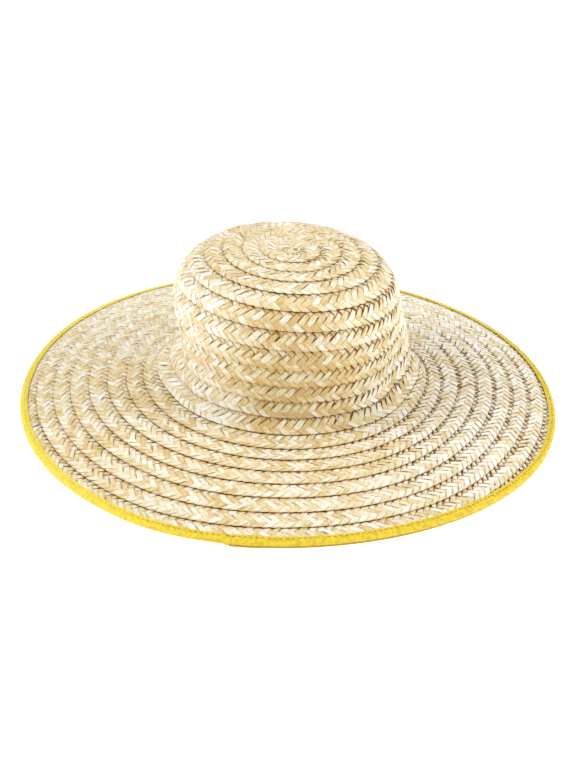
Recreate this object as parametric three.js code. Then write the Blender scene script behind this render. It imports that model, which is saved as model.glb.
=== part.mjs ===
// Floppy straw hat: a wide-brim hat sewn from one spiral of plaited straw, with a folded tape on its rim.
// Units are millimetres, +Z is up and the hat stands on its rim on z = 0.
import * as THREE from 'three'
import { mergeVertices } from 'three/addons/utils/BufferGeometryUtils.js'

// Driving dimensions
const ROW_PITCH = 16.1            // visible width of one row of braid
const FIRST_SEAM = 0.57           // the first seam from the tip's centre, in rows
const LAST_CROWN_SEAM = 13        // the crown ends at this seam, on top of the brim
const TAPE_WIDTH = 9.6            // rim tape seen from above
const GAP = 0.35                  // clear space between two pieces
const WALL_INSIDE = -1.0          // inner face of the straw, from the middle surface
const ROW_START = 0.25            // outer face just below a seam
const ROW_BODY = 1.05             // outer face a third of the way down a row
const ROW_EDGE = 1.6              // outer face at a row's free edge
const TUCK = 5.0                  // how far the brim runs in under the crown's last row
const RIM_HEIGHT = 1.9            // middle surface above the table at the rim
const DROOP = 12.5                // slope of the brim at the rim, degrees
const CROWN_LEAN = -0.048         // sideways lean of the crown, mm per mm of height
const LEAN_START = 26             // height where the lean begins
const CROWN_SEGMENTS = 48
const BRIM_SEGMENTS = 72

// Middle surface of the straw at each seam, from the tip's centre to the rim
const PROFILE = [
  { seam: -0.57, radius: 0.0, height: 140.0 },
  { seam: 0, radius: 9.2, height: 139.9 },
  { seam: 1, radius: 25.3, height: 139.6 },
  { seam: 2, radius: 41.4, height: 139.0 },
  { seam: 3, radius: 57.4, height: 137.6 },
  { seam: 4, radius: 72.6, height: 133.2 },
  { seam: 5, radius: 85.4, height: 123.8 },
  { seam: 6, radius: 93.4, height: 110.0 },
  { seam: 7, radius: 95.6, height: 94.1 },
  { seam: 8, radius: 94.2, height: 78.1 },
  { seam: 9, radius: 92.0, height: 62.2 },
  { seam: 10, radius: 90.2, height: 46.2 },
  { seam: 11, radius: 91.6, height: 30.2 },
  { seam: 12, radius: 104.6, height: 20.6 },
  { seam: 13, radius: 120.5, height: 18.4 },
  { seam: 14, radius: 136.6, height: 18.0 },
  { seam: 15, radius: 152.7, height: 17.0 },
  { seam: 16, radius: 168.7, height: 15.2 },
  { seam: 17, radius: 184.6, height: 12.5 },
  { seam: 18, radius: 200.2, height: 8.6 },
  { seam: 19, radius: 215.7, height: 4.4 },
  { seam: 20, radius: 231.4, height: 0.9 },
  { seam: 20.25, radius: 235.3, height: 0.0 },
]

// Gentle waves of the rim: how many waves go round, their size and where their top is (0 = front, to the right)
const RIM_RISE = [
  { waves: 2, size: 3.9, top: 21.2 },
  { waves: 3, size: 0.9, top: 12.2 },
]
const RISE_LEVEL = 1.6            // raises the waves, and what stays below zero lies flat on the table
const RIM_SPREAD = [
  { waves: 1, size: 2.1, top: 175 },
  { waves: 2, size: 0.6, top: -12 },
  { waves: 3, size: 1.2, top: 0 },
  { waves: 4, size: 0.9, top: -34 },
]
const RISE_FROM = 13              // seam where the waves begin
const SPREAD_FROM = 17

const STRAW = 0xe3c88d
const TAPE = 0xf4d63c
const rad = Math.PI / 180

// A smooth line through the profile, by distance along it
const knots = PROFILE.map(p => ({ s: (p.seam + FIRST_SEAM) * ROW_PITCH, r: p.radius, z: p.height }))
const mirrored = { s: -knots[1].s, r: -knots[1].r, z: knots[1].z }
const line = [mirrored, ...knots]

function slopeAt(i, key) {
  const a = line[Math.max(i - 1, 0)]
  const b = line[Math.min(i + 1, line.length - 1)]
  return (b[key] - a[key]) / (b.s - a.s)
}

function pointAt(s) {
  let i = 1
  while (i < line.length - 2 && s > line[i + 1].s) i++
  const a = line[i]
  const b = line[i + 1]
  const h = b.s - a.s
  const t = (s - a.s) / h
  const out = {}
  for (const key of ['r', 'z']) {
    const m0 = slopeAt(i, key) * h
    const m1 = slopeAt(i + 1, key) * h
    const t2 = t * t
    const t3 = t2 * t
    out[key] = (2 * t3 - 3 * t2 + 1) * a[key] + (t3 - 2 * t2 + t) * m0
      + (-2 * t3 + 3 * t2) * b[key] + (t3 - t2) * m1
  }
  return out
}

// A point of the section: s along the profile, off along its outward normal
function section(s, off) {
  const p = pointAt(s)
  if (s <= 0) return { s, r: 0, z: p.z + off + RIM_HEIGHT }
  const a = pointAt(s - 0.5)
  const b = pointAt(s + 0.5)
  const dr = b.r - a.r
  const dz = b.z - a.z
  const d = Math.hypot(dr, dz)
  return { s, r: p.r - dz / d * off, z: p.z + dr / d * off + RIM_HEIGHT }
}

const seamAt = n => (n + FIRST_SEAM) * ROW_PITCH
const rimAt = seamAt(20.25)

function ramp(s, from) {
  const t = Math.min(Math.max((s - seamAt(from)) / (rimAt - seamAt(from)), 0), 1)
  return t
}

function waveSum(table, angle) {
  return table.reduce((sum, w) => sum + w.size * Math.cos(w.waves * (angle - w.top * rad)), 0)
}

function rimRise(angle) {
  const w = waveSum(RIM_RISE, angle) + RISE_LEVEL
  return w > 0 ? w * w / (w + 0.8) : 0
}

let meanRise = 0
for (let i = 0; i < 360; i++) meanRise += rimRise(i * rad) / 360

// Places a point of the section on the hat. The angle runs from the front (-Y) towards the right (+X).
function place(p, angle) {
  const rise = meanRise + ramp(p.s, RISE_FROM) * (rimRise(angle) - meanRise)
  const r = p.r + ramp(p.s, SPREAD_FROM) * waveSum(RIM_SPREAD, angle) * (p.r > 0 ? 1 : 0)
  const z = p.z + rise
  const lean = CROWN_LEAN * Math.max(0, z - LEAN_START)
  return [r * Math.sin(angle) + lean, -r * Math.cos(angle), z]
}

// Turns a closed section into one closed body; a point on the axis becomes a single vertex
function turned(loop, segments, onAxis) {
  const xyz = []
  const tris = []
  const rows = loop.map(p => {
    const start = xyz.length / 3
    const single = onAxis && p.r === 0
    for (let j = 0; j < (single ? 1 : segments); j++) xyz.push(...place(p, j / segments * 2 * Math.PI))
    return { start, single }
  })
  const last = onAxis ? rows.length - 1 : rows.length
  for (let i = 0; i < last; i++) {
    const a = rows[i]
    const b = rows[(i + 1) % rows.length]
    for (let j = 0; j < segments; j++) {
      const k = (j + 1) % segments
      const a0 = a.single ? a.start : a.start + j
      const a1 = a.single ? a.start : a.start + k
      const b0 = b.single ? b.start : b.start + j
      const b1 = b.single ? b.start : b.start + k
      if (!b.single) tris.push(a0, b0, b1)
      if (!a.single) tris.push(a0, b1, a1)
    }
  }
  const g = new THREE.BufferGeometry()
  g.setAttribute('position', new THREE.Float32BufferAttribute(xyz, 3))
  g.setIndex(tris)
  return mergeVertices(g, 1e-4)
}

// The shingled outer face of the rows from one seam to another
function rows(from, to) {
  const out = []
  for (let n = from; n < to; n++) {
    const s = seamAt(n)
    out.push(section(s, ROW_START), section(s + 5, ROW_BODY), section(s + ROW_PITCH - 0.8, ROW_EDGE))
  }
  return out
}

// Crown: the tip, the side and the flare, down to the seam where the brim begins
function crownLoop() {
  const end = seamAt(LAST_CROWN_SEAM)
  const loop = [section(0, 1.3), section(seamAt(0) - 0.9, ROW_EDGE), ...rows(0, LAST_CROWN_SEAM)]
  loop.push(section(end, ROW_EDGE - 0.3), section(end, ROW_START - 0.15 + GAP))
  loop.push(section(end - TUCK - 0.6, ROW_START - 0.15 + GAP), section(end - TUCK - 1.2, WALL_INSIDE))
  for (let n = LAST_CROWN_SEAM - 1; n >= 0; n--) {
    if (n > 9 || (n > 2 && n < 7)) loop.push(section(seamAt(n + 0.5), WALL_INSIDE))
    loop.push(section(seamAt(n), WALL_INSIDE))
  }
  loop.push(section(0, WALL_INSIDE))
  return loop
}

// Brim: flat near the crown, drooping to the rim
function brimLoop() {
  const start = seamAt(LAST_CROWN_SEAM)
  const edge = rimAt - 1.2
  const lastSeam = seamAt(19)
  const loop = [section(start - TUCK, ROW_START - 0.15), section(start + 0.5, ROW_START - 0.1)]
  loop.push(section(start + 5, ROW_BODY), section(start + ROW_PITCH - 0.8, ROW_EDGE))
  loop.push(...rows(LAST_CROWN_SEAM + 1, 19))
  loop.push(section(lastSeam, ROW_START), section(lastSeam + 5, 1.0), section(edge, 1.0))
  loop.push(section(edge, WALL_INSIDE))
  for (let n = 20; n > LAST_CROWN_SEAM; n--) loop.push(section(seamAt(n), WALL_INSIDE))
  loop.push(section(start - TUCK, WALL_INSIDE))
  return loop
}

// Rim tape: folded over the brim's edge, its section given from the rim (along) and the middle surface (out)
const TAPE_SECTION = [
  { along: -TAPE_WIDTH, out: 1.35, table: false },
  { along: -TAPE_WIDTH, out: 2.0, table: false },
  { along: -5.0, out: 2.3, table: false },
  { along: -0.9, out: 2.0, table: false },
  { along: 0.3, out: 1.0, table: false },
  { along: 0.6, out: -0.4, table: false },
  { along: -0.2, out: -1.8, table: true },
  { along: -4.2, out: -2.1, table: true },
  { along: -8.8, out: -2.0, table: false },
  { along: -8.8, out: -1.35, table: false },
  { along: -0.8, out: -1.35, table: false },
  { along: -0.8, out: 1.35, table: false },
]

function tapeLoop() {
  const across = Math.cos(DROOP * rad)
  const down = Math.sin(DROOP * rad)
  return TAPE_SECTION.map(p => {
    if (p.along < -6) {
      return section(rimAt + p.along, p.out)
    }
    const q = section(rimAt, 0)
    const r = q.r + p.along * across + p.out * down
    const z = p.table ? 0 : q.z - p.along * down + p.out * across
    return { s: p.table ? rimAt : rimAt + Math.min(p.along, 0), r, z }
  })
}

function piece(name, geometry, color) {
  const mesh = new THREE.Mesh(geometry, new THREE.MeshStandardMaterial({ color, roughness: 0.6 }))
  mesh.name = name
  return mesh
}

const group = new THREE.Group()
group.name = 'straw_hat'
group.add(piece('crown', turned(crownLoop(), CROWN_SEGMENTS, true), STRAW))
group.add(piece('brim', turned(brimLoop(), BRIM_SEGMENTS, false), STRAW))
group.add(piece('rim_tape', turned(tapeLoop(), BRIM_SEGMENTS, false), TAPE))

// The origin is the middle of the box's bottom
group.updateMatrixWorld(true)
const box = new THREE.Box3().setFromObject(group)
const dx = -(box.min.x + box.max.x) / 2
const dy = -(box.min.y + box.max.y) / 2
for (const mesh of group.children) mesh.geometry.translate(dx, dy, -box.min.z)

export default group
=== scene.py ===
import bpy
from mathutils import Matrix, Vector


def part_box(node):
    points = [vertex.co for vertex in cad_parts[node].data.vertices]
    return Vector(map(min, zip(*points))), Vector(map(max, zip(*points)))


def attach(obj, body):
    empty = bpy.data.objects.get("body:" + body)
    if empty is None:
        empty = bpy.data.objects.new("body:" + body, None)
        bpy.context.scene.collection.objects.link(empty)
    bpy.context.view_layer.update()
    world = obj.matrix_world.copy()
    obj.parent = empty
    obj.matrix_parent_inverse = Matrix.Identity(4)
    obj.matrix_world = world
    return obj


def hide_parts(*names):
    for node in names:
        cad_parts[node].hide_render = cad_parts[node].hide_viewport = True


bl_info = {
    "name": "Floppy Straw Hat",
    "version": (1, 0, 0),
    "blender": (4, 5, 0),
    "location": "3D View > Sidebar > Straw Hat",
    "description": "Sews a wide-brim sun hat from one spiral of plaited straw, with a yellow rim tape",
    "category": "Object",
}

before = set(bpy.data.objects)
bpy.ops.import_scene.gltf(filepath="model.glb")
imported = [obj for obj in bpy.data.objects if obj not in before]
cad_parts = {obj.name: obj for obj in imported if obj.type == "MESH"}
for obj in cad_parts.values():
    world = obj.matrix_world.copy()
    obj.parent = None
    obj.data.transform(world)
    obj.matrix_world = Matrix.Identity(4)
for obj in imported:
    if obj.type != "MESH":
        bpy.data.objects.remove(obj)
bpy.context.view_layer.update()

import math

import bpy
import numpy as np
from bpy.props import FloatProperty, FloatVectorProperty, IntProperty, PointerProperty
from mathutils import Matrix, Vector

MM = 0.001
TURN = 2 * math.pi

# The hat's form, as its solids have it. RADII and HEIGHTS are those of the straw's middle surface at each
# of SEAMS, in millimetres.
ROW_PITCH = 16.1 * MM
FIRST_SEAM = 0.57
RIM_HEIGHT = 1.9 * MM
DROOP = math.radians(12.5)
CROWN_LEAN = -0.048
LEAN_START = 26 * MM
LAST_SEAM = 20.25
SEAMS = [-FIRST_SEAM, *range(21), LAST_SEAM]
RADII = [
    0.0, 9.2, 25.3, 41.4, 57.4, 72.6, 85.4, 93.4, 95.6, 94.2, 92.0, 90.2, 91.6, 104.6,
    120.5, 136.6, 152.7, 168.7, 184.6, 200.2, 215.7, 231.4, 235.3,
]
HEIGHTS = [
    140.0, 139.9, 139.6, 139.0, 137.6, 133.2, 123.8, 110.0, 94.1, 78.1, 62.2, 46.2, 30.2, 20.6,
    18.4, 18.0, 17.0, 15.2, 12.5, 8.6, 4.4, 0.9, 0.0,
]
# Gentle waves of the rim: waves round the hat, size, and where their top is, from the front to the right
RIM_RISE = [(2, 3.9 * MM, 21.2), (3, 0.9 * MM, 12.2)]
RISE_LEVEL = 1.6 * MM
RISE_SOFTNESS = 0.8 * MM
RIM_SPREAD = [(1, 2.1 * MM, 175), (2, 0.6 * MM, -12), (3, 1.2 * MM, 0), (4, 0.9 * MM, -34)]
RISE_FROM = 13
SPREAD_FROM = 17
RIM_RADIUS = 0.2353

# The spiral of plait: it starts near the tip's centre and ends under the rim tape
SPIRAL_START = 1.0 * MM
LEAD_IN = 20.0 * MM
SPIRAL_END = 342.0 * MM
LEFT_OVER = 40 * MM
MEASURED_IN = 6 * MM
PLAIT_STEPS = 5
DRAWN_WIDTH = 20
CROWN_TIP_TURN = 5.0
CROWN_END_TURN = 12.7
BRIM_INNER_TURN = 16.9

# How the straws of a row sit: a straw's end is mitred at the plait's folded edge, a row lies low at its
# inner edge and rises to its free edge, and the seam shows this far from the plait's inner edge
MITRE_REACH = 3.4 * MM
EDGE_FOLD = 0.35 * MM
ROW_LOW = -0.65 * MM
ROW_RISE = 1.35 * MM
CURL_FROM = 15.5 * MM
CURL_OVER = 4.5 * MM
SEAM_PLACE = 6.6 * MM
SEAM_REACH = 2.8 * MM
TIP_HEIGHT = 0.45 * MM
TIP_MARGIN = 1.6 * MM

# How unevenly the straws lie: the spread of where they are along and across the plait, of their height
# and of their roll, and how wide and how notched at the seam they can be
SLIDE = 0.26 * MM
REACH = 0.35 * MM
RAISED = 0.06 * MM
ROLL = 0.05
WIDTHS = (0.88, 1.1)
NOTCHES = (0.5, 1.2)
# The straws that pass under are a little wider. At the seam those on top are notched and those under are
# widened, and all keep at least a part of their width.
UNDER_WIDTH = 1.18
NOTCH_ON_TOP = -0.46
NOTCH_UNDER = 0.28
NARROWEST = 0.5
# Under the tape the rows are pressed flat and end just inside the rim
TAPE_COVERS = 4 * MM
PRESSED_TO = 2.6 * MM
FLATTENED = 0.46

# How a straw runs through the plait, from the plait's inner edge to its outer edge, in twentieths of its
# width. The straws cross at every fifth of the way: cuts are places on that way, path is over (+1) or
# under (-1) there, and spread says how far across the plait each crossing really lies. Gap is how dark the
# painted shade between the straws is, full is how wide the straws are there, and tone is how pale the
# straws are, the middle and how far they differ. By degrees from the front towards the right, open is how
# far the straws stand apart, seam is how dark the painted shade at the seam is, and the last table is
# painted light and shade: how much paler the straws are painted where more light falls, darker below zero.
CROWN_WEAVE = {
    "cuts": [0, 1.3, 4.6, 7.3, 10.0, 12.7, 15.2, 18.2, 20.0],
    "path": [0.3, 0.8, 1.0, -0.85, -1.2, -0.85, 1.05, 1.0, 0.3],
    "gap": [1, 1, 1, 1, 0.8, 0.5, 0.5, 0.45, 0.4],
    "full": [1, 1, 0.9, 0.88, 1.04, 1.0, 0.98, 0.95, 0.8],
    "spread": [(0, 0), (4, 4.6), (6, 6.8), (8, 8.9), (12, 13.2), (14, 14.8), (16, 16.8), (20, 20)],
    "tone": (0.5, 1.05),
    "open": [(-180, 0.5), (-90, 0.5), (-25, 0.6), (15, 0.75), (38, 1.15), (110, 1.15), (180, 0.5)],
    "seam": [(-180, 0.4), (-90, 0.5), (-40, 0.75), (-10, 1.0), (40, 1.0), (70, 0.6), (180, 0.4)],
    "lightness": [
        (-180, 0.05), (-90, 0.12), (-62, 0.22), (-36, 0.14), (-8, -0.27), (25, -0.22), (50, 0.05),
        (180, 0.05),
    ],
}
TIP_WEAVE = {
    **CROWN_WEAVE,
    "full": [1, 1, 0.94, 0.94, 1.04, 1, 0.98, 0.9, 0.5],
    "tone": (0.5, 0.75),
    "open": [(-180, 0.1), (-90, 0.5), (-60, 0.45), (0, 0.3), (40, 0.7), (100, 0.8), (180, 0.1)],
    "seam": [(-180, 0.1), (-110, 0.3), (-60, 0.75), (0, 0.8), (60, 0.7), (180, 0.1)],
    "lightness": [(-180, 0.0), (180, 0.0)],
}
BRIM_WEAVE = {
    **CROWN_WEAVE,
    "path": [-over for over in CROWN_WEAVE["path"]],
    "gap": [1, 1, 1, 1, 0.8, 0.5, 0.4, 0.3, 0.3],
    "full": [1, 1, 0.92, 0.9, 1.04, 1.04, 1.02, 0.95, 0.7],
    "spread": [(0, 0), (4, 5.6), (6, 8.2), (10, 11.2), (14, 13.8), (16, 16.0), (20, 20)],
    "tone": (0.52, 0.9),
    "open": [
        (-180, 0.1), (-90, 0.45), (-50, 0.55), (-15, 0.2), (18, 0.3), (42, 1.1), (108, 1.3), (140, 0.4),
        (180, 0.1),
    ],
    "seam": [
        (-180, 0.1), (-110, 0.2), (-85, 0.6), (-55, 0.8), (-20, 1.0), (30, 1.0), (55, 0.5), (105, 0.5),
        (140, 0.1), (180, 0.1),
    ],
    "lightness": [
        (-180, 0.16), (-120, 0.14), (-85, -0.02), (-40, -0.02), (20, 0.0), (55, 0.2), (105, 0.26),
        (180, 0.16),
    ],
}
# Where the rows of the brim are pulled in or out as they are sewn: degrees from the front towards the
# right, and millimetres at the brim's outer rows, reached between these two seams
PULL_SEAMS = (11.5, 18)
ROW_PULL = [
    (-180, 0.0), (-120, 0.8), (-90, 1.4), (-60, 1.2), (-30, 0.2), (0, 0.0), (20, 0.2), (32, -0.6),
    (45, -3.2), (60, -5.8), (75, -5.6), (88, -3.0), (102, 0.4), (120, 1.4), (150, 0.6), (180, 0.0),
]

# The spiral isn't centred on the crown: how far from its middle, and how far the rows there are shifted
# to the right and to the front, in millimetres
ROW_SHIFT = [
    (0, 7.0, -2.0), (25, 8.0, -2.0), (45, 9.5, -1.5), (74, 8.6, -2.8), (122, 8.0, -2.8), (138, 8.0, -0.6),
    (154, 7.0, 0.5), (170, 5.0, 0.0), (186, 3.0, -1.0), (202, 2.6, -2.0), (220, 0.0, 0.0),
]
# At the crown's foot, on both sides of the front, the rows sag: how far, between which distances from the
# tip's centre, and round which angle in degrees
ROW_SAG = 3.2 * MM
SAG_FROM = 138 * MM
SAG_TO = 196 * MM
SAG_FADE = 18 * MM
SAG_MIDDLE = 62
SAG_REACH = 45

# Below its round shoulder the crown isn't quite round: it stands out behind its right and its left side.
# Degrees from the front towards the right, how far round that reaches, and how far out it stands in
# millimetres by distance from the tip's centre
BULGES = [
    (112, 46, [
        (112, 0), (126, 1.5), (142, 8.5), (158, 15), (173, 20), (187, 21), (202, 15), (218, 4), (236, 0),
    ]),
    (-108, 46, [
        (118, 0), (134, -2.5), (152, -4.5), (168, -3), (178, 5), (188, 15), (202, 14), (218, 4), (236, 0),
    ]),
]

# Two dark marks in the straw: distance from the tip's centre, degrees from the front towards the right,
# and the mark's half width and half length, in millimetres
MARKS = [(189.7, 74.0, 1.0, 1.5), (323.4, -72.4, 1.2, 3.7)]
MARK_HEIGHT = 0.9 * MM

# The rim tape's own section: distance from the rim and from the straw's middle surface, in millimetres,
# with heights above the ground where it rests
TAPE_TOP = [(-9.6, 1.2), (-9.0, 1.5), (-7.7, 1.75), (-6.4, 2.02)]
TAPE_FOLD = [(-4.4, 2.1), (-2.4, 2.02), (-0.8, 1.68), (0.12, 0.9), (0.4, -0.1), (0.12, -1.05)]
TAPE_FLAT = [(-0.9, 0.27), (-3.0, 0.25)]
TAPE_UNDER = [(-6.6, -2.15), (-8.8, -1.7)]
# Where the tape starts over its own end, in degrees from the front, and how far the end reaches under the
# start
TAPE_LAP = -10.7
LAP_REACH = 4.5
LAP_SLANT = 1.4
# Where the two rows of stitches run, from the upper flap's edge across the tape, and how far a stitch
# reaches to each side and off the tape
STITCH_ROWS = (("top_stitches", 3.1 * MM), ("under_stitches", 18.6 * MM))
STITCH_SIDE = 0.62 * MM
STITCH_RISE = 0.36 * MM
# Where painted shade darkens the tape's lower fold: across the tape, and along it from the lap
FOLD_SHADE_FROM = (11.5 * MM, 12.0 * MM)
FOLD_SHADE_TO = (13.8 * MM, 14.8 * MM)
FOLD_SHADE_ALONG = (0.12, 0.25)
# Width of the tape's upper flap round the hat: degrees from the front towards the right, and millimetres
TAPE_FLAP = 9.6 * MM
TAPE_WIDTHS = [
    (-30, 9.0), (0, 9.7), (35, 9.8), (50, 8.2), (70, 6.3), (100, 6.2), (135, 5.2), (180, 4.9),
    (215, 5.2), (250, 6.4), (285, 7.1), (315, 8.5), (360, 9.7),
]


def seam_at(number):
    """Distance of a seam from the tip's centre, along the profile."""
    return (number + FIRST_SEAM) * ROW_PITCH


RIM_AT = seam_at(LAST_SEAM)


def middle_line():
    """The knots of the straw's middle surface: distance along it, radius and height."""
    along = [seam_at(n) for n in SEAMS]
    radii = [r * MM for r in RADII]
    heights = [z * MM for z in HEIGHTS]
    knots = [(-along[1], -radii[1], heights[1])]
    knots.extend(zip(along, radii, heights))
    return np.array(knots)


KNOTS = middle_line()


def knot_slopes():
    """How radius and height change along the profile at its knots."""
    before = np.vstack([KNOTS[:1], KNOTS[:-1]])
    after = np.vstack([KNOTS[1:], KNOTS[-1:]])
    step = (after - before)[:, 0:1]
    return (after - before)[:, 1:] / step


SLOPES = knot_slopes()


def surface_point(s):
    """Radius and height of the middle surface at a distance s from the tip's centre."""
    i = np.clip(np.searchsorted(KNOTS[:, 0], s, side="right") - 1, 0, len(KNOTS) - 2)
    a = KNOTS[i]
    b = KNOTS[i + 1]
    h = b[:, 0] - a[:, 0]
    t = (s - a[:, 0]) / h
    t2 = t * t
    t3 = t2 * t
    weights = (2 * t3 - 3 * t2 + 1, (t3 - 2 * t2 + t) * h, -2 * t3 + 3 * t2, (t3 - t2) * h)
    out = []
    for k in (0, 1):
        value = weights[0] * a[:, k + 1] + weights[1] * SLOPES[i, k]
        value += weights[2] * b[:, k + 1] + weights[3] * SLOPES[i + 1, k]
        out.append(value)
    return out


def section(s, off):
    """Radius and height at a distance s along the profile and off its middle surface."""
    step = 0.5 * MM
    r, z = surface_point(s)
    ra, za = surface_point(s - step)
    rb, zb = surface_point(s + step)
    d = np.hypot(rb - ra, zb - za)
    return r - (zb - za) / d * off, z + (rb - ra) / d * off + RIM_HEIGHT


def smooth(x):
    """Rises gently from 0 to 1 as x does."""
    x = np.clip(x, 0, 1)
    return x * x * (3 - 2 * x)


def rise(distance, start, over):
    """Rises gently from 0 to 1, from a start and over a distance in millimetres."""
    return smooth((distance - start * MM) / (over * MM))


def ramp(s, number):
    """Rises from 0 at a seam to 1 at the rim."""
    return np.clip((s - seam_at(number)) / (RIM_AT - seam_at(number)), 0, 1)


def wrapped(angle):
    """The same angle, from half a turn below zero to half a turn above."""
    return (angle + math.pi) % TURN - math.pi


def soften(values, times):
    """Rounds the corners of a row of values, in place."""
    for _ in range(times):
        values[1:-1] = (values[:-2] + 2 * values[1:-1] + values[2:]) / 4


def round_the_hat(table, angle):
    """Looks an angle up in a table by degrees from the front towards the right."""
    values = np.array(table)
    return np.interp(np.degrees(wrapped(angle)), values[:, 0], values[:, 1])


def waves(table, angle):
    """The sum of some waves round the hat."""
    total = np.zeros_like(angle)
    for count, size, top in table:
        total += size * np.cos(count * (angle - math.radians(top)))
    return total


def rim_rise(angle):
    """How far the rim stands off the ground: two stretches of it rest there."""
    w = np.maximum(waves(RIM_RISE, angle) + RISE_LEVEL, 0)
    return w * w / (w + RISE_SOFTNESS)


MEAN_RISE = float(np.mean(rim_rise(np.radians(np.arange(360.0)))))


def row_pull(s, angle):
    """How far a row stands from its even place."""
    steps = np.radians(np.arange(-180, 181, 3.0))
    pulls = round_the_hat(ROW_PULL, steps) * MM
    soften(pulls, 6)
    first, full = [seam_at(number) for number in PULL_SEAMS]
    brim = smooth((s - first) / (full - first))
    foot = smooth((s - SAG_FROM) / SAG_FADE) * (1 - smooth((s - SAG_TO) / SAG_FADE))
    sides = smooth(1 - np.abs(np.abs(np.degrees(angle)) - SAG_MIDDLE) / SAG_REACH)
    return np.interp(angle, steps, pulls) * brim + ROW_SAG * foot * sides


def sewn_place(s, edge, angle):
    """Where a place on a row lies on the hat, as the rows are sewn a little off the even spiral."""
    table = np.array(ROW_SHIFT) * MM
    right = s * np.sin(angle) + np.interp(edge, table[:, 0], table[:, 1])
    front = s * np.cos(angle) + np.interp(edge, table[:, 0], table[:, 2])
    around = np.arctan2(right, front)
    return np.hypot(right, front) + row_pull(edge, around), around


def hat_axis():
    """Where the crown's axis stands."""
    low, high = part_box("crown")
    return (low[0] + high[0]) / 2, (low[1] + high[1]) / 2


def crown_bulge(s, angle):
    """How far the crown stands out of its round form."""
    total = 0
    steps = np.arange(100, 250, 2.0)
    for middle, reach, sizes in BULGES:
        sizes = np.array(sizes)
        out = np.interp(steps, sizes[:, 0], sizes[:, 1])
        soften(out, 8)
        near = smooth(1 - np.abs(wrapped(angle - math.radians(middle))) / math.radians(reach))
        total = total + np.interp(s / MM, steps, out) * MM * near
    return total


def place(s, r, z, angle):
    """Puts a point of the section on the hat. The angle runs from the front towards the right."""
    r = r + ramp(s, SPREAD_FROM) * waves(RIM_SPREAD, angle) + crown_bulge(s, angle)
    z = z + MEAN_RISE + ramp(s, RISE_FROM) * (rim_rise(angle) - MEAN_RISE)
    lean = CROWN_LEAN * np.maximum(0, z - LEAN_START)
    x0, y0 = hat_axis()
    return np.column_stack([x0 + r * np.sin(angle) + lean, y0 - r * np.cos(angle), z])


def spiral_table():
    """Distance of the plait's outer edge from the centre, and the turns made, by length of plait."""
    smallest = 3.0 * MM
    edge = np.linspace(SPIRAL_START, SPIRAL_END + MEASURED_IN, 6000)
    turns = edge / ROW_PITCH - FIRST_SEAM
    radius = np.maximum(surface_point(edge - MEASURED_IN)[0], smallest)
    piece = (radius[1:] + radius[:-1]) / 2 * np.diff(turns) * TURN
    return np.concatenate([[0.0], np.cumsum(piece)]) - LEAD_IN, turns, edge


# Work with one object at a time


def deselect_all():
    bpy.ops.object.select_all(action="DESELECT")


def select_only(*pieces):
    deselect_all()
    for piece in pieces:
        piece.select_set(True)
    bpy.context.view_layer.objects.active = pieces[0]


def get_points(piece):
    points = np.empty(len(piece.data.vertices) * 3)
    piece.data.vertices.foreach_get("co", points)
    return points.reshape(-1, 3)


def set_points(piece, points):
    piece.data.vertices.foreach_set("co", np.ascontiguousarray(points, dtype=float).ravel())
    piece.data.update()


def get_values(piece, name):
    values = np.empty(len(piece.data.vertices), dtype=np.float32)
    piece.data.attributes[name].data.foreach_get("value", values)
    return values


def set_values(piece, name, values):
    layer = piece.data.attributes.get(name) or piece.data.attributes.new(name, "FLOAT", "POINT")
    layer.data.foreach_set("value", np.ascontiguousarray(values, dtype=np.float32))


def give_thickness(piece, thickness, edge_material=0):
    """Turns a sheet into a wall, half of it to each side."""
    select_only(piece)
    bpy.ops.object.modifier_add(type="SOLIDIFY")
    wall = piece.modifiers[-1]
    wall.thickness = thickness
    wall.offset = 0
    wall.material_offset_rim = edge_material
    bpy.ops.object.modifier_apply(modifier=wall.name)


def repeat(piece, count, step):
    """Repeats a piece along the x axis."""
    select_only(piece)
    bpy.ops.object.modifier_add(type="ARRAY")
    row = piece.modifiers[-1]
    row.count = count
    row.use_relative_offset = False
    row.use_constant_offset = True
    row.constant_offset_displace = (step, 0, 0)
    bpy.ops.object.modifier_apply(modifier=row.name)


def shade(piece, degrees):
    select_only(piece)
    bpy.ops.object.shade_smooth_by_angle(angle=math.radians(degrees))


# Materials


def finished(name, finish, colours):
    """The material of that name, made by its finish if there is none yet."""
    material = bpy.data.materials.get(name)
    if material is None:
        material = bpy.data.materials.new(name)
        material.use_nodes = True
        material.node_tree.nodes.clear()
        finish(material.node_tree, colours)
    return material


def add_node(tree, kind, settings=None, values=None):
    node = tree.nodes.new(kind)
    for key, value in (settings or {}).items():
        setattr(node, key, value)
    for key, value in (values or {}).items():
        node.inputs[key].default_value = value
    return node


def math_node(tree, operation, first, second=None, clamp=False):
    node = tree.nodes.new("ShaderNodeMath")
    node.operation = operation
    node.use_clamp = clamp
    for i, value in enumerate((first, second)):
        if value is None:
            continue
        if isinstance(value, (int, float)):
            node.inputs[i].default_value = value
        else:
            tree.links.new(value, node.inputs[i])
    return node.outputs[0]


def range_node(tree, value, low, high, to_low=0.0, to_high=1.0):
    values = {"From Min": low, "From Max": high, "To Min": to_low, "To Max": to_high}
    node = add_node(tree, "ShaderNodeMapRange", {"interpolation_type": "SMOOTHSTEP"}, values)
    tree.links.new(value, node.inputs["Value"])
    return node.outputs["Result"]


def mix_colour(tree, factor, first, second, blend="MIX"):
    node = tree.nodes.new("ShaderNodeMix")
    node.data_type = "RGBA"
    node.blend_type = blend
    tree.links.new(factor, node.inputs["Factor"])
    for key, value in ((6, first), (7, second)):
        if hasattr(value, "is_output"):
            tree.links.new(value, node.inputs[key])
        else:
            node.inputs[key].default_value = (*value, 1.0)
    return node.outputs[2]


def separate(tree, vector):
    node = add_node(tree, "ShaderNodeSeparateXYZ")
    tree.links.new(vector, node.inputs[0])
    return node.outputs


def attribute(tree, name):
    return add_node(tree, "ShaderNodeAttribute", {"attribute_name": name}).outputs["Fac"]


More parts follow.
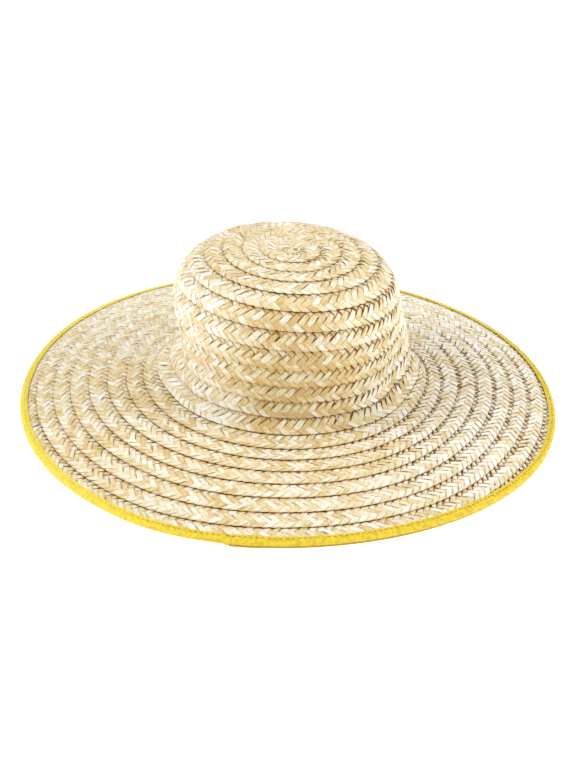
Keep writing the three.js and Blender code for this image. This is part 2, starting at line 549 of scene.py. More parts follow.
def noise(tree, place_on, scale, detail, roughness=0.5):
    values = {"Scale": scale, "Detail": detail, "Roughness": roughness}
    node = add_node(tree, "ShaderNodeTexNoise", None, values)
    tree.links.new(place_on, node.inputs["Vector"])
    return node.outputs["Fac"]


def bands(tree, place_on, direction, scale, distortion):
    node = add_node(
        tree, "ShaderNodeTexWave", {"wave_type": "BANDS", "bands_direction": direction},
        {"Scale": scale, "Distortion": distortion, "Detail": 1.0, "Detail Scale": 1.5},
    )
    tree.links.new(place_on, node.inputs["Vector"])
    return node.outputs["Fac"]


def either_way(tree, pattern, size):
    """Turns a pattern from 0 to 1 into one from -size / 2 to size / 2."""
    return math_node(tree, "MULTIPLY", math_node(tree, "SUBTRACT", pattern, 0.5), size)


def add_surface(tree, body, values, height=None, strength=0.0, distance=0.0):
    """Adds the shader and the output, with a fine relief if a height is given."""
    shader = add_node(tree, "ShaderNodeBsdfPrincipled", None, values)
    if body is not None:
        tree.links.new(body, shader.inputs["Base Color"])
    if height is not None:
        relief = add_node(tree, "ShaderNodeBump", None, {"Strength": strength, "Distance": distance})
        tree.links.new(height, relief.inputs["Height"])
        tree.links.new(relief.outputs["Normal"], shader.inputs["Normal"])
    out = add_node(tree, "ShaderNodeOutputMaterial")
    tree.links.new(shader.outputs[0], out.inputs["Surface"])
    return shader


def straw_coordinates(tree, across, along):
    """A pattern place on a straw: lengthwise, crosswise, and different on every straw."""
    parts = separate(tree, add_node(tree, "ShaderNodeUVMap", {"uv_map": "UVMap"}).outputs["UV"])
    joined = add_node(tree, "ShaderNodeCombineXYZ")
    number = math_node(tree, "MULTIPLY", attribute(tree, "straw_number"), 37.0)
    tree.links.new(math_node(tree, "MULTIPLY", parts["X"], along), joined.inputs["X"])
    tree.links.new(math_node(tree, "MULTIPLY", parts["Y"], across), joined.inputs["Y"])
    tree.links.new(number, joined.inputs["Z"])
    return joined.outputs[0], parts["Y"]


def mark_shape(tree, along, degrees, half_width, half_length):
    """A small oval on the straw that points away from the crown."""
    s = np.array([along * MM])
    angle = np.radians([degrees])
    r, z = section(s, np.array([MARK_HEIGHT]))
    coords = add_node(tree, "ShaderNodeTexCoord")
    oval = add_node(tree, "ShaderNodeMapping", {"vector_type": "TEXTURE"})
    oval.inputs["Location"].default_value = place(s, r, z, angle)[0]
    oval.inputs["Rotation"].default_value = (0, 0, angle[0])
    oval.inputs["Scale"].default_value = (half_width * MM, half_length * MM, 4 * MM)
    tree.links.new(coords.outputs["Object"], oval.inputs["Vector"])
    reach = add_node(tree, "ShaderNodeVectorMath", {"operation": "LENGTH"})
    tree.links.new(oval.outputs["Vector"], reach.inputs[0])
    return range_node(tree, reach.outputs["Value"], 1.2, 0.8, 0.0, 0.9)


def straw_finish(tree, colours):
    """Dried, flattened straw: pale and shiny, with lengthwise fibres and every straw its own tone."""
    links = tree.links
    fine_place, crosswise = straw_coordinates(tree, 26.0, 2.2)
    fibres = noise(tree, fine_place, 1.0, 3.0, 0.6)
    blotch = noise(tree, straw_coordinates(tree, 2.4, 4.0)[0], 1.0, 2.0)
    flecks = noise(tree, straw_coordinates(tree, 5.0, 11.0)[0], 1.0, 1.0)
    # The straw's own random tone, with painted light and shade by where it lies round the hat, plus
    # blotches, flecks and fibres
    lightness = math_node(tree, "ADD", attribute(tree, "straw_tone_and_light"), either_way(tree, blotch, 1.3))
    lightness = math_node(tree, "ADD", lightness, either_way(tree, flecks, 1.25))
    lightness = math_node(tree, "ADD", lightness, either_way(tree, fibres, 0.5), clamp=True)
    tones = add_node(tree, "ShaderNodeValToRGB")
    ramp_stops = tones.color_ramp.elements
    ramp_stops[0].color = (*colours.straw_tan_and_shade, 1)
    ramp_stops[1].color = (*colours.straw_ivory, 1)
    for position, tone in ((0.3, colours.straw_golden), (0.62, colours.straw_pale)):
        stop = ramp_stops.new(position)
        stop.color = (*tone, 1)
    links.new(lightness, tones.inputs["Fac"])
    # Painted shade: brown at the straw's own sides and where it dips under the others
    side = math_node(tree, "ABSOLUTE", math_node(tree, "SUBTRACT", crosswise, 0.5))
    edge = range_node(tree, side, 0.40, 0.49, 0.0, 0.6)
    body = mix_colour(tree, edge, tones.outputs["Color"], colours.straw_edge_shade)
    dip = attribute(tree, "dip")
    body = mix_colour(tree, range_node(tree, dip, 0.05, 0.75, 0.0, 0.97), body, colours.seam_shade_brown)
    # Painted shade across a row: shade beside the row above it, golden-brown shade at its free edge, and a
    # dark painted shadow in the crease at the seam
    row_place = attribute(tree, "row_place")
    seam = attribute(tree, "seam")
    shaded = math_node(tree, "MULTIPLY", range_node(tree, row_place, 0.42, 0.2, 0.0, 0.4), seam)
    body = mix_colour(tree, shaded, body, colours.straw_tan_and_shade, "MULTIPLY")
    rolled_edge_shade = math_node(tree, "MULTIPLY", range_node(tree, row_place, 0.93, 0.99, 0.0, 0.45), seam)
    body = mix_colour(tree, rolled_edge_shade, body, colours.straw_roll_shade)
    crease_shadow = math_node(tree, "MULTIPLY", range_node(tree, row_place, 0.27, 0.215, 0.0, 1.0), seam)
    jumbled = math_node(tree, "MULTIPLY", attribute(tree, "straw_number"), 7.0)
    dash = range_node(tree, math_node(tree, "FRACT", jumbled), 0.3, 0.55, 0.4, 1.0)
    body = mix_colour(tree, math_node(tree, "MULTIPLY", crease_shadow, dash), body, colours.seam_shade_brown)
    for mark in MARKS:
        body = mix_colour(tree, mark_shape(tree, *mark), body, colours.mark_dark)
    shader = add_surface(tree, body, {"Coat Roughness": 0.22}, fibres, 0.35, 0.12 * MM)
    hollow = math_node(tree, "MAXIMUM", dip, crease_shadow)
    links.new(range_node(tree, hollow, 0.0, 0.5, 0.18, 0.0), shader.inputs["Coat Weight"])
    links.new(range_node(tree, hollow, 0.0, 0.6, 0.5, 0.05), shader.inputs["Specular IOR Level"])
    links.new(range_node(tree, blotch, 0.3, 0.7, 0.34, 0.52), shader.inputs["Roughness"])


def straw_edge_finish(tree, colours):
    """The thin side of a straw, brown with painted shade."""
    streak = noise(tree, straw_coordinates(tree, 1.0, 9.0)[0], 1.0, 2.0)
    shade_of = range_node(tree, streak, 0.3, 0.6, 0.2, 1.0)
    body = mix_colour(tree, shade_of, colours.seam_shade_brown, colours.straw_edge_shade)
    add_surface(tree, body, {"Roughness": 0.7, "Specular IOR Level": 0.1})


def tape_finish(tree, colours):
    """Yellow woven tape: fine crosswise ribs with a soft sheen, painted shade between the threads, random
    mottling, painted light on the left and behind, and painted shade on the lower fold.
    """
    uv = add_node(tree, "ShaderNodeUVMap", {"uv_map": "UVMap"}).outputs["UV"]
    sides = separate(tree, add_node(tree, "ShaderNodeTexCoord").outputs["Object"])
    weave = math_node(tree, "MULTIPLY", bands(tree, uv, "X", 620.0, 0.6), bands(tree, uv, "Y", 900.0, 0.8))
    mottle = range_node(tree, noise(tree, uv, 260.0, 3.0), 0.43, 0.66, 0.0, 0.58)
    # Painted shade between the weave's threads, with random darker mottling added
    shade_and_mottle = math_node(tree, "MULTIPLY", math_node(tree, "SUBTRACT", 1.0, weave), 0.6)
    shade_and_mottle = math_node(tree, "ADD", shade_and_mottle, mottle)
    # Painted light: on the lit left the tape has less painted shade and mottling, and it is painted paler
    # there and behind
    evened = range_node(tree, sides["X"], -0.03, -0.15, 1.0, 0.6)
    shade_and_mottle = math_node(tree, "MULTIPLY", shade_and_mottle, evened)
    brightened = range_node(tree, sides["X"], -0.1, -0.2, 0.0, 0.75)
    body = mix_colour(tree, brightened, colours.tape_yellow, colours.tape_lit)
    behind = range_node(tree, sides["Y"], 0.04, 0.15, 0.0, 0.7)
    body = mix_colour(tree, behind, body, colours.tape_lit)
    body = mix_colour(tree, shade_and_mottle, body, colours.tape_shade)
    # Painted shade: the underside of the lower fold is darkened brown beside the lap
    flat = separate(tree, uv)
    fold_shade = range_node(tree, flat["X"], *FOLD_SHADE_ALONG, 0.95, 0.3)
    fold_shade = math_node(tree, "MULTIPLY", range_node(tree, flat["Y"], *FOLD_SHADE_FROM), fold_shade)
    fold_shade = math_node(tree, "MULTIPLY", fold_shade, range_node(tree, flat["Y"], *FOLD_SHADE_TO, 1.0, 0.0))
    body = mix_colour(tree, fold_shade, body, colours.thread_and_fold_shade)
    sheen = {"Roughness": 0.5, "Sheen Weight": 0.25, "Sheen Roughness": 0.4}
    add_surface(tree, body, sheen, weave, 0.5, 0.1 * MM)


def thread_finish(tree, colours):
    """Sewing thread, darker than the tape, and painted lighter on the lit left, as the tape is."""
    place_on = add_node(tree, "ShaderNodeTexCoord").outputs["Object"]
    twist = noise(tree, place_on, 2400.0, 2.0)
    # Painted light: the thread is lighter on the lit left
    brightened = range_node(tree, separate(tree, place_on)["X"], -0.06, -0.16, 0.0, 0.65)
    body = mix_colour(tree, twist, colours.thread_and_fold_shade, colours.tape_shade)
    body = mix_colour(tree, brightened, body, colours.tape_yellow)
    add_surface(tree, body, {"Roughness": 0.6})


# The plait


def model_straw(name, side, weave, plait):
    """One flattened straw that crosses the plait from its inner edge to its outer edge."""
    cuts = weave["cuts"]
    cells = len(cuts) - 1
    deselect_all()
    bpy.ops.mesh.primitive_grid_add(x_subdivisions=cells, y_subdivisions=2, size=1.0)
    straw = bpy.context.object
    straw.name = name
    points = get_points(straw)
    cut = np.rint((points[:, 0] + 0.5) * cells).astype(int)
    across = np.rint(points[:, 1] * 2)
    outwards = np.array(cuts)[cut] * MM * plait.width / (DRAWN_WIDTH * MM)
    run = PLAIT_STEPS / 2 * plait.straw_spacing / plait.width
    sine = 1 / math.hypot(1, run)
    cosine = run * sine
    half = plait.straw_width / 2
    near_edge = np.minimum(outwards, plait.width - outwards)
    mitre = np.clip(1 - near_edge / MITRE_REACH, 0, 1)
    taper = np.array(weave["full"])[cut]
    a = side * outwards * run - across * taper * half * (sine + mitre * (1 / sine - sine))
    b = outwards + across * side * half * cosine * (1 - mitre)
    spread = np.array(weave["spread"]) * plait.width / DRAWN_WIDTH
    b = np.interp(b, spread[:, 0], spread[:, 1])
    fold = EDGE_FOLD * (1 - across * across)
    b = b + np.where(cut == cells, fold, 0) - np.where(cut == 0, fold, 0)
    over = np.array(weave["path"])[cut] * -side
    h = over * plait.weave_lift + plait.straw_arch * (1 - across * across)
    set_points(straw, np.column_stack([a, b, h]))
    # How dark the painted shade is where the straw dips under the others, in the gaps between straws
    set_values(straw, "dip", smooth((0.55 - over) / 0.9) * np.array(weave["gap"])[cut])
    give_thickness(straw, plait.straw_thickness, 1)
    shade(straw, 42)
    return straw


def model_plait_step(weave, plait, materials):
    """The two straws that repeat along the plait: one each way."""
    down = model_straw("straw_down", -1, weave, plait)
    up = model_straw("straw_up", 1, weave, plait)
    size = len(down.data.vertices)
    for straw in (down, up):
        for material in materials:
            straw.data.materials.append(material)
    select_only(down, up)
    bpy.ops.object.join()
    return down, size


def straw_tones(count, middle, differ):
    """A tone for each straw both ways: some come from the same stalk as it folds back and forth."""
    folds = 14
    likeness = 0.25
    rng = np.random.default_rng(11)
    tones = np.empty((2, count))
    stalk = rng.uniform(0, 1, (PLAIT_STEPS, count // folds + 2))
    number = np.arange(count)
    for way in (0, 1):
        own = rng.uniform(0, 1, count)
        shared = stalk[number % PLAIT_STEPS, number // folds]
        mixed = likeness * shared + (1 - likeness) * own
        tones[way] = middle + (mixed - 0.5) * differ
    return tones, rng


def row_height(b, shown, plait):
    """A row lies under the row before it at its inner edge, and on the next one at its outer edge."""
    t = b / plait.width
    t = t + (shown - t) * (1 - t)
    curl = plait.edge_curl * smooth((b - CURL_FROM) / CURL_OVER)
    crowned = plait.row_crown * np.sin(np.clip((t - 0.2) / 0.8, 0, 1) * math.pi)
    return ROW_LOW + ROW_RISE * t + crowned + curl


def lay_plait(piece, first, per_step, down_size, weave, plait):
    """Lays the straight plait along the hat's spiral."""
    lengths, turns, edges = spiral_table()
    along, across, height = get_points(piece).T
    # The straw that each point belongs to, and how that straw differs from the others
    order = np.arange(len(along))
    number = first + order // per_step
    way = np.where(order % per_step < down_size, 0, 1)
    straw = (way, number)
    total = int(lengths[-1] / plait.straw_spacing) + 20
    tones, rng = straw_tones(total, *weave["tone"])
    slide = rng.normal(0, SLIDE, (2, total))[straw]
    reach = rng.normal(0, REACH, (2, total))[straw]
    raised = rng.normal(0, RAISED, (2, total))[straw]
    width = rng.uniform(*WIDTHS, (2, total))[straw]
    roll = rng.normal(0, ROLL, (2, total))[straw]
    # Along the plait: every straw is widened or narrowed about its own middle line
    run = PLAIT_STEPS / 2 * plait.straw_spacing / plait.width
    centre = number * plait.straw_spacing + np.where(way == 0, -1, 1) * across * run
    aside = along - centre
    opened = round_the_hat(weave["open"], -TURN * np.interp(centre, lengths, turns))
    on_top = get_values(piece, "dip") < 0.05
    notch = rng.uniform(*NOTCHES, (2, total))[straw] * opened
    near_seam = smooth(1.5 - np.abs(across - SEAM_PLACE) / SEAM_REACH)
    closing = np.where(on_top, 1.0, UNDER_WIDTH) + 0.1 * (1 - opened)
    closing = closing + notch * near_seam * np.where(on_top, NOTCH_ON_TOP, NOTCH_UNDER)
    a = centre + aside * width * np.maximum(closing, NARROWEST) + slide
    # Across the plait: inwards from the spiral's line, squeezed near the tip's centre and at the rim
    edge = np.interp(a, lengths, edges)
    angle = -TURN * np.interp(a, lengths, turns)
    squeeze = np.minimum(1, (edge + TIP_MARGIN) / plait.width)
    slant = 0.1 * aside * rise(across, 16, 3)
    slant = slant + reach * np.sin(math.pi * np.clip(across / plait.width, 0, 1)) ** 2
    s = edge - (plait.width - across - slant) * squeeze
    before = np.maximum(edge - ROW_PITCH, 0)
    hidden = sewn_place(before, before, angle)[0]
    s, angle = sewn_place(s, edge, angle)
    shown = (s - hidden) / plait.width + (1 - ROW_PITCH / plait.width)
    even = across / plait.width
    shown = even + (shown - even) * rise(edge, 50, 30)
    over = s - (RIM_AT - TAPE_COVERS)
    pressed = PRESSED_TO * (1 - np.exp(-over / PRESSED_TO))
    s = np.where(over > 0, RIM_AT - TAPE_COVERS + pressed, s)
    # Off the surface: the row's own height, settled at the tip and pressed flat under the tape
    off = row_height(across, shown, plait)
    settled = rise(edge, 4, 22) * (0.6 + 0.4 * rise(edge, 55, 30))
    off = TIP_HEIGHT + (off - TIP_HEIGHT) * settled + raised
    off = off + height * (0.55 + 0.45 * opened)
    off = off + aside * roll
    off = off * (1 - FLATTENED * smooth((s - (RIM_AT - 13 * MM)) / (4 * MM)))
    r, z = section(s, off)
    set_points(piece, place(s, r, z, angle))
    # What the straw's colours go by
    # The painted shade in the dips is deeper where the straws stand apart, and faint at the tip
    dip = get_values(piece, "dip") * (0.2 + 0.8 * notch)
    set_values(piece, "dip", dip * (0.3 + 0.7 * rise(edge, 6, 20)))
    # Each straw's own tone, painted paler where more light falls round the hat and darker where less:
    # painted light and shade
    set_values(piece, "straw_tone_and_light", tones[straw] + round_the_hat(weave["lightness"], angle))
    set_values(piece, "straw_number", (number * 0.6180339 + way * 0.37) % 1.0)
    set_values(piece, "row_place", shown + 0.1 * (1 - rise(edge, 14, 34)))
    # How strong the painted shade along the seam is, round the hat
    set_values(piece, "seam", round_the_hat(weave["seam"], angle) * rise(edge, 6, 16))


def length_at_turn(turn):
    """How much plait there is up to a turn of the spiral."""
    lengths, turns, _ = spiral_table()
    return float(np.interp(turn, turns, lengths))


def sew_plait(name, node, from_turn, to_turn, weave):
    """One piece of the spiral, from one turn of it to another."""
    scene = bpy.context.scene
    plait = scene.straw_plait
    colours = scene.hat_colours
    materials = (
        finished("plaited_straw", straw_finish, colours),
        finished("straw_side_shade", straw_edge_finish, colours),
    )
    start = 0.0 if from_turn is None else length_at_turn(from_turn)
    end = spiral_table()[0][-1] - LEFT_OVER if to_turn is None else length_at_turn(to_turn)
    first = int(start / plait.straw_spacing)
    last = int(end / plait.straw_spacing)
    piece, down_size = model_plait_step(weave, plait, materials)
    per_step = len(piece.data.vertices)
    points = get_points(piece)
    points[:, 0] += first * plait.straw_spacing
    set_points(piece, points)
    repeat(piece, last - first, plait.straw_spacing)
    lay_plait(piece, first, per_step, down_size, weave, plait)
    piece.name = name
    piece.data.name = name
    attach(piece, "root")
    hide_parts(node)
    return piece


# The rim tape


def beside_straw(table):
    """Rows of the tape that follow the straw: radius, height and distance along the profile."""
    along, off = np.array(table).T * MM
    r, z = section(RIM_AT + along, off)
    return list(zip(r, z, RIM_AT + along))


def tape_section():
    """All the rows of the tape, as it is folded over the rim."""
    rim_r, rim_z = section(np.array([RIM_AT]), np.array([0.0]))
    across = math.cos(DROOP)
    down = math.sin(DROOP)
    rows = beside_straw(TAPE_TOP)
    for along, off in TAPE_FOLD:
        r = rim_r[0] + (along * across + off * down) * MM
        z = rim_z[0] + (-along * down + off * across) * MM
        rows.append((r, z, RIM_AT + min(along, 0) * MM))
    for along, height in TAPE_FLAT:
        rows.append((rim_r[0] + along * across * MM, height * MM, RIM_AT))
    return np.array(rows + beside_straw(TAPE_UNDER))


def tape_rows():
    """The tape's section, and how far across the flat tape each of its rows is."""
    rows = tape_section()
    steps = np.hypot(np.diff(rows[:, 0]), np.diff(rows[:, 1]))
    return rows, np.concatenate([[0.0], np.cumsum(steps)])


def on_tape(across, angle, off):
    """A point of the tape, by how far across it from the upper flap's edge, round the hat and off it."""
    rows, length = tape_rows()
    step = 0.4 * MM
    before, (r, z, s), after = [
        [np.interp(across + shift, length, column) for column in rows.T] for shift in (-step, 0, step)
    ]
    dr = after[0] - before[0]
    dz = after[1] - before[1]
    d = np.hypot(dr, dz)
    return place(s, r - dz / d * off, z + dr / d * off, angle)


def uneven(angle, counts, seed):
    """A repeatable unevenness round the rim, from about -1 to 1."""
    rng = np.random.default_rng(seed)
    total = np.zeros_like(angle)
    for count in counts:
        total += math.cos(rng.uniform(0, TURN)) * np.sin(count * angle + rng.uniform(0, TURN))
    return total / math.sqrt(len(counts))


def flap_cut(angle):
    """How far the upper flap's edge stands back from the widest place, round the hat."""
    widths = np.array(TAPE_WIDTHS)
    return TAPE_FLAP - np.interp(np.degrees(angle), widths[:, 0], widths[:, 1]) * MM


def tucked_in(angle):
    """How much tighter the tape is folded just before it passes under its own start."""
    before_lap = np.degrees(wrapped(angle)) - TAPE_LAP
    return 1.3 * MM * smooth((before_lap + 50) / 25) * (1 - smooth((before_lap + 0.6) / 0.6))


def lap_rise(angle):
    """How far the tape's start stands up over its own end."""
    past_lap = np.degrees(angle) - TAPE_LAP
    return 0.5 * MM * (1 - smooth((past_lap - 5) / 3))


def fold_tape(sizes, colours):
    """A flat tape, laid round the rim and folded over it, its end tucked under its start."""
    rows, length = tape_rows()
    deselect_all()
    bpy.ops.mesh.primitive_grid_add(
        x_subdivisions=sizes.tape_segments, y_subdivisions=len(rows) - 1, size=1.0
    )
    tape = bpy.context.object
    points = get_points(tape)
    around = points[:, 0] + 0.5
    row = np.rint((points[:, 1] + 0.5) * (len(rows) - 1)).astype(int)
    across = length[row]
    start = math.radians(TAPE_LAP)
    reach = TURN + math.radians(LAP_REACH)
    slant = math.radians(LAP_SLANT) * (1 - across / length[-1]) * (1 - smooth(around * 40))
    angle = start + around * reach + slant
    top = 1 - rise(across, 5, 3)
    under = rise(across, 15, 3)
    pucker = np.cos(angle * (TURN * RIM_RADIUS / sizes.stitch_pitch))
    off = 0.05 * MM * pucker * top + 0.10 * MM * uneven(angle, (37, 53, 71, 97, 131), 4) * top
    off += lap_rise(angle)
    edge_wander = 0.2 * MM * uneven(angle, (19, 31, 47, 83), 5)
    back = flap_cut(angle)
    wander = (back + edge_wander) * (1 - rise(across, 0, 7.5)) + edge_wander * 0.8 * under
    off -= 0.16 * back * (1 - rise(across, 0, 3))
    off -= tucked_in(angle) * rise(across, 4, 4) * (1 - under)
    placed = on_tape(np.clip(across + wander, 0, length[-1]), angle, off)
    placed[:, 2] = np.maximum(placed[:, 2], sizes.tape_thickness / 2)
    set_points(tape, placed)
    uv = tape.data.uv_layers.active.data
    flat = np.empty(len(uv) * 2)
    uv.foreach_get("uv", flat)
    flat[0::2] *= reach * RIM_RADIUS
    flat[1::2] *= length[-1]
    uv.foreach_set("uv", flat)
    tape.data.materials.append(finished("yellow_tape", tape_finish, colours))
    give_thickness(tape, sizes.tape_thickness)
    shade(tape, 50)
    tape.name = "folded_rim_tape"
    tape.data.name = tape.name
    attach(tape, "root")
    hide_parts("rim_tape")
    return tape


def sew_stitch_row(name, across, sizes, colours):
    """One row of running stitches along the tape."""
    count = int(TURN * RIM_RADIUS / sizes.stitch_pitch)
    deselect_all()
    bpy.ops.mesh.primitive_uv_sphere_add(segments=6, ring_count=5, radius=1.0)
    row = bpy.context.object
    points = get_points(row)
    half_length = sizes.stitch_length / 2
    ends = np.sign(points[:, 2]) * np.abs(points[:, 2]) ** 0.7
    sag = 1 - 0.5 * points[:, 2] ** 2
    # Along, across and off the tape is a left-handed frame, so a mirrored stitch faces outwards there
    shaped = np.column_stack([
        -ends * half_length,
        points[:, 0] * STITCH_SIDE,
        points[:, 1] * STITCH_RISE * sag,
    ])
    set_points(row, shaped)
    repeat(row, count, sizes.stitch_pitch)
    points = get_points(row)
    order = np.arange(len(points)) // len(shaped)
    rng = np.random.default_rng(23)
    stretch = rng.uniform(0.75, 1.1, count)[order]
    drift = rng.normal(0, 0.12 * MM, count)[order]
    middle = order * sizes.stitch_pitch
    along = middle + (points[:, 0] - middle) * stretch
    angle = math.radians(TAPE_LAP) + along / RIM_RADIUS
    off = sizes.tape_thickness / 2 + points[:, 2]
    if across < TAPE_FLAP:
        drift = drift + flap_cut(angle)
        off = off + lap_rise(angle)
    set_points(row, on_tape(across + points[:, 1] + drift, angle, off))
    row.data.materials.append(finished("tape_thread", thread_finish, colours))
    shade(row, 60)
    row.name = name
    row.data.name = name
    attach(row, "root")
    return row


# The user's settings


def length_field(name, description, default, lowest, highest):
    """A length that the user can change, given in millimetres."""
    return FloatProperty(
        name=name, description=description, default=default * MM, min=lowest * MM, max=highest * MM,
        unit="LENGTH", precision=5,
    )


def colour_field(name, description, default):
    """A colour that the user can change."""
    return FloatVectorProperty(
        name=name, description=description, default=default, size=3, min=0, max=1, subtype="COLOR"
    )


class StrawPlaitSettings(bpy.types.PropertyGroup):
    width: length_field("Plait width", "Width of the straw plait before it is sewn", 20, 12, 30)
    straw_spacing: length_field("Straw spacing", "Distance along the plait between straws", 7.2, 5, 12)
    straw_width: length_field("Straw width", "Width of one flattened straw", 4.85, 3, 8)
    straw_thickness: length_field("Straw thickness", "Thickness of one flattened straw", 0.42, 0.2, 1)
    straw_arch: length_field("Straw arch", "How far a straw's middle stands above its sides", 0.42, 0, 1)
    weave_lift: length_field("Weave lift", "How far a straw rises and dips on its way", 0.38, 0.1, 1)
    row_crown: length_field("Row crown", "How far the middle of a row stands above its edges", 0.35, 0, 2)
    edge_curl: length_field("Edge curl", "How far a row's free edge stands off the next row", 0.15, 0, 2)


class RimTapeSettings(bpy.types.PropertyGroup):
    tape_thickness: length_field("Tape thickness", "Thickness of the woven tape", 0.5, 0.2, 1)
    tape_segments: IntProperty(
        name="Tape segments", description="Faces along the tape", default=620, min=90, max=1200,
    )
    stitch_pitch: length_field("Stitch pitch", "Distance from one stitch to the next", 4.7, 2, 10)
    stitch_length: length_field("Stitch length", "Length of one stitch", 3.4, 1, 8)


class HatColourSettings(bpy.types.PropertyGroup):
    straw_ivory: colour_field("Ivory straw", "Palest straw", (0.93, 0.91, 0.83))
    straw_pale: colour_field("Pale straw", "Most of the straw", (0.81, 0.74, 0.535))
    straw_golden: colour_field("Golden straw", "Riper straw", (0.76, 0.61, 0.325))
    # Tan is also the painted shade beside the row above
    straw_tan_and_shade: colour_field("Tan straw", "Darkest straw", (0.64, 0.45, 0.18))
    # Painted shade at a row's free edge, where it rolls over the next row
    straw_roll_shade: colour_field("Rolled straw", "Where straws fold at a row's free edge", (0.72, 0.46, 0.13))
    # Painted shade along a straw's sides and on its thin side faces
    straw_edge_shade: colour_field("Straw edge", "Side of a straw", (0.48, 0.27, 0.04))
    # Painted shade in the deep places under a row's edge, in the dips between straws and on their side
    # faces
    seam_shade_brown: colour_field("Seam brown", "Deep places under a row's edge", (0.17, 0.058, 0.002))
    mark_dark: colour_field("Mark", "Dark marks in the straw", (0.06, 0.02, 0.02))
    tape_yellow: colour_field("Tape yellow", "Rim tape", (0.92, 0.75, 0.018))
    # Painted light: the tape painted paler on the lit left and behind
    tape_lit: colour_field("Tape, faded", "Where the tape has faded, left and behind", (0.93, 0.81, 0.12))
    tape_shade: colour_field("Tape shade", "Between the tape's threads", (0.64, 0.42, 0.008))
    # The thread's colour is also the painted shade along the tape's lower fold
    thread_and_fold_shade: colour_field("Thread", "Sewing thread on the tape", (0.31, 0.17, 0.006))
    floor: colour_field("Floor", "Floor under the hat", (0.80, 0.80, 0.80))


# The pieces


class STRAWHAT_OT_sew_crown(bpy.types.Operator):
    """Sews the crown from the spiral of plait"""

    bl_idname = "straw_hat.sew_crown"
    bl_label = "Sew the crown"

    def execute(self, context):
        sew_plait("crown_tip_plait", "crown", None, CROWN_TIP_TURN, TIP_WEAVE)
        sew_plait("crown_side_plait", "crown", CROWN_TIP_TURN, CROWN_END_TURN, CROWN_WEAVE)
        return {"FINISHED"}


class STRAWHAT_OT_sew_brim(bpy.types.Operator):
    """Sews the brim from the rest of the plait"""

    bl_idname = "straw_hat.sew_brim"
    bl_label = "Sew the brim"

    def execute(self, context):
        sew_plait("brim_inner_plait", "brim", CROWN_END_TURN, BRIM_INNER_TURN, BRIM_WEAVE)
        sew_plait("brim_outer_plait", "brim", BRIM_INNER_TURN, None, BRIM_WEAVE)
        return {"FINISHED"}


class STRAWHAT_OT_fold_rim_tape(bpy.types.Operator):
    """Folds the yellow tape over the rim and stitches it down"""

    bl_idname = "straw_hat.fold_rim_tape"
    bl_label = "Fold the rim tape"

    def execute(self, context):
        sizes = context.scene.rim_tape
        colours = context.scene.hat_colours
        fold_tape(sizes, colours)
        for name, across in STITCH_ROWS:
            sew_stitch_row(name, across, sizes, colours)
        return {"FINISHED"}


class STRAWHAT_OT_set_stage(bpy.types.Operator):
    """Sets the pale floor, the soft lights and the camera"""

    bl_idname = "straw_hat.set_stage"
    bl_label = "Set the stage"

    def execute(self, context):
        scene = context.scene
        make_floor(scene.hat_colours)
        make_lights()
        make_camera()
        return {"FINISHED"}


def floor_finish(tree, colours):
    """A plain pale floor that glows softly, so that it stays even and white."""
    values = {"Base Color": (*colours.floor, 1), "Roughness": 0.9, "Specular IOR Level": 0.1}
    values.update({"Emission Color": (1, 1, 1, 1), "Emission Strength": 0.9})
    add_surface(tree, None, values)


def make_floor(colours):
    """Lays the floor that the hat lies on."""
    deselect_all()
    bpy.ops.mesh.primitive_plane_add(size=9.0, location=(0, 0, 0))
    floor = bpy.context.object
    floor.name = "floor"
    floor.data.materials.append(finished("pale_floor", floor_finish, colours))


def make_area_light(name, location, size, energy):
    """A soft round light that points at the hat."""
    bpy.ops.object.light_add(type="AREA", location=location)
    light = bpy.context.object
    light.name = name
    light.data.shape = "DISK"
    light.data.size = size
    light.data.energy = energy
    aim = Vector((0, 0, 0.05)) - Vector(location)
    light.rotation_euler = aim.to_track_quat("-Z", "Y").to_euler()


def make_lights():
    """Soft white light from all round, and three large lights."""
    scene = bpy.context.scene
    world = bpy.data.worlds.new("soft_studio")
    world.use_nodes = True
    sky = world.node_tree.nodes["Background"]
    sky.inputs["Color"].default_value = (1.0, 1.0, 1.0, 1.0)
    sky.inputs["Strength"].default_value = 0.54
    scene.world = world
    make_area_light("key_light", (-1.42, -0.25, 1.38), 0.9, 17)
    make_area_light("side_light", (1.55, -0.2, 1.1), 1.0, 16)
    make_area_light("top_light", (0.0, 0.3, 2.0), 1.0, 7)
    scene.view_settings.view_transform = "Standard"


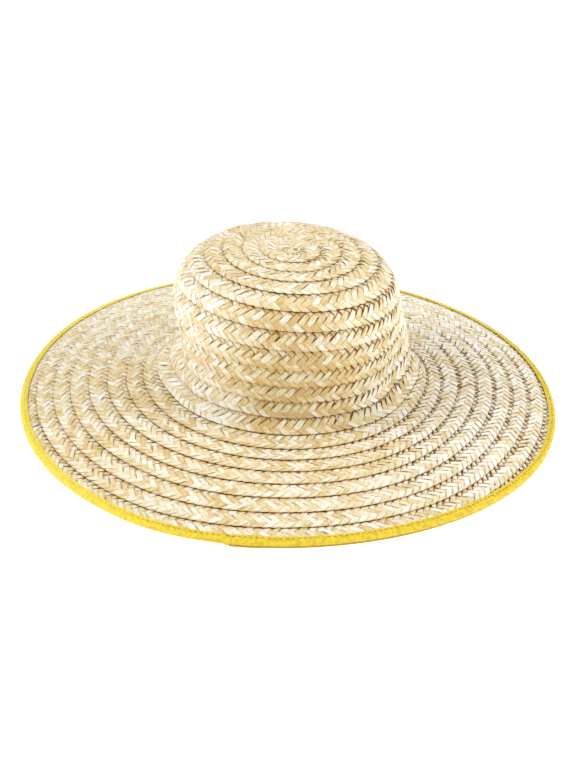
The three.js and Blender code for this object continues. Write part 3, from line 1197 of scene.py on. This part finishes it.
def make_camera():
    """A long lens from in front, thirty degrees above the floor."""
    above = math.radians(30.275)
    roll = math.radians(1.738)
    distance = 1.465
    back = Vector((0, -math.cos(above), math.sin(above)))
    right = Vector((1, 0, 0))
    up = Vector((0, math.sin(above), math.cos(above)))
    side = right * math.cos(roll) + up * math.sin(roll)
    top = up * math.cos(roll) - right * math.sin(roll)
    turned = Matrix((side, top, back)).transposed()
    bpy.ops.object.camera_add(location=back * distance, rotation=turned.to_euler())
    camera = bpy.context.object
    camera.name = "camera"
    camera.data.sensor_fit = "HORIZONTAL"
    camera.data.sensor_width = 36
    camera.data.lens = 103.74
    camera.data.shift_y = 0.024306
    bpy.context.scene.camera = camera


class STRAWHAT_PT_panel(bpy.types.Panel):
    """Makes the hat piece by piece"""

    bl_idname = "STRAWHAT_PT_panel"
    bl_label = "Straw Hat"
    bl_space_type = "VIEW_3D"
    bl_region_type = "UI"
    bl_category = "Straw Hat"

    def draw(self, context):
        layout = self.layout
        scene = context.scene
        for group in (scene.straw_plait, scene.rim_tape, scene.hat_colours):
            box = layout.box()
            for key in group.__annotations__:
                box.prop(group, key)
        for operator in PIECES:
            layout.operator(operator.bl_idname)


GROUPS = (
    ("straw_plait", StrawPlaitSettings),
    ("rim_tape", RimTapeSettings),
    ("hat_colours", HatColourSettings),
)
PIECES = (
    STRAWHAT_OT_sew_crown,
    STRAWHAT_OT_sew_brim,
    STRAWHAT_OT_fold_rim_tape,
    STRAWHAT_OT_set_stage,
)


def register():
    for key, group in GROUPS:
        bpy.utils.register_class(group)
        setattr(bpy.types.Scene, key, PointerProperty(type=group))
    for operator in PIECES:
        bpy.utils.register_class(operator)
    bpy.utils.register_class(STRAWHAT_PT_panel)


def unregister():
    bpy.utils.unregister_class(STRAWHAT_PT_panel)
    for operator in reversed(PIECES):
        bpy.utils.unregister_class(operator)
    for key, group in reversed(GROUPS):
        delattr(bpy.types.Scene, key)
        bpy.utils.unregister_class(group)


def main():
    """Makes the hat and its stage."""
    register()
    bpy.ops.straw_hat.sew_crown()
    bpy.ops.straw_hat.sew_brim()
    bpy.ops.straw_hat.fold_rim_tape()
    bpy.ops.straw_hat.set_stage()
    deselect_all()


if __name__ == "__main__":
    main()
